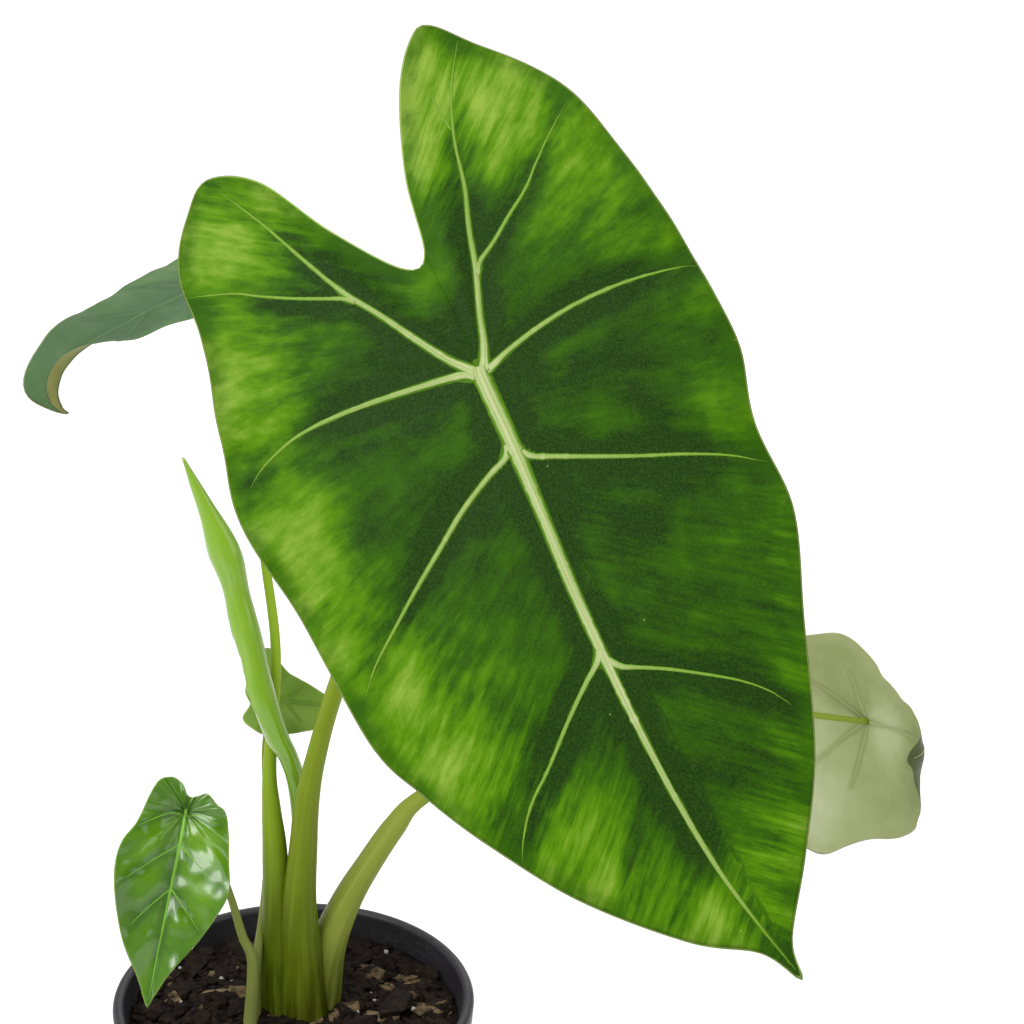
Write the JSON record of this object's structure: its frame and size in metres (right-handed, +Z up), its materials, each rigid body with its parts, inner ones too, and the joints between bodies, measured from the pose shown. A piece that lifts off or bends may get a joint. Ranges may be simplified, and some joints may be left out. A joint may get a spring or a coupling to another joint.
{
  "type": "potted alocasia",
  "caption": "Arrowhead-leaved alocasia with long arching leaf stalks, a furled new leaf and a side shoot, growing in bark mix in a plain round nursery pot.",
  "frame": {"origin": "centre of the flat underside of the pot", "axes": "+Z up along the pot's axis; -Y is the front, the side that the large leaf hangs towards"},
  "size_m": [0.3793, 0.3527, 0.5447],
  "materials": {
    "pot_plastic": "charcoal moulded nursery-pot plastic with a fine grain",
    "mix": "dark moist peat and bark mix, crumbly, fully rough",
    "bark": "dry tan bark chips with split faces",
    "perlite": "white porous expanded-stone grains",
    "root": "pale corky living roots and corm skin",
    "velvet_blade": "velvety deep green leaf with yellow-green patches and raised cream veins, paler matt underside",
    "glossy_blade": "young bright green leaf with a waxy gloss and a pale midrib",
    "stalk": "smooth yellow-green stalk, fine lengthwise streaks, satin"
  },
  "bodies": {
    "root": {"nursery_pot": "pot_plastic", "potting_mix": "mix", "corm": "root", "pup_corm": "root", "surface_root_1": "root", "surface_root_2": "root", "surface_root_3": "root", "bark_chip_1": "bark", "bark_chip_2": "bark", "bark_chip_3": "bark", "bark_chip_4": "bark", "bark_chip_5": "bark", "bark_chip_6": "bark", "bark_chip_7": "bark", "bark_chip_8": "bark", "bark_chip_9": "bark", "bark_chip_10": "bark", "perlite_grain_1": "perlite", "perlite_grain_2": "perlite", "perlite_grain_3": "perlite", "perlite_grain_4": "perlite", "perlite_grain_5": "perlite", "perlite_grain_6": "perlite", "perlite_grain_7": "perlite", "perlite_grain_8": "perlite", "front_petiole": "stalk", "left_petiole": "stalk", "right_petiole": "stalk", "furled_leaf": "glossy_blade", "young_petiole": "stalk", "rear_petiole": "stalk", "front_leaf": "velvet_blade", "left_leaf": "velvet_blade", "right_leaf": "velvet_blade", "rear_leaf": "velvet_blade", "young_leaf": "glossy_blade"}
  },
  "joints": []
}
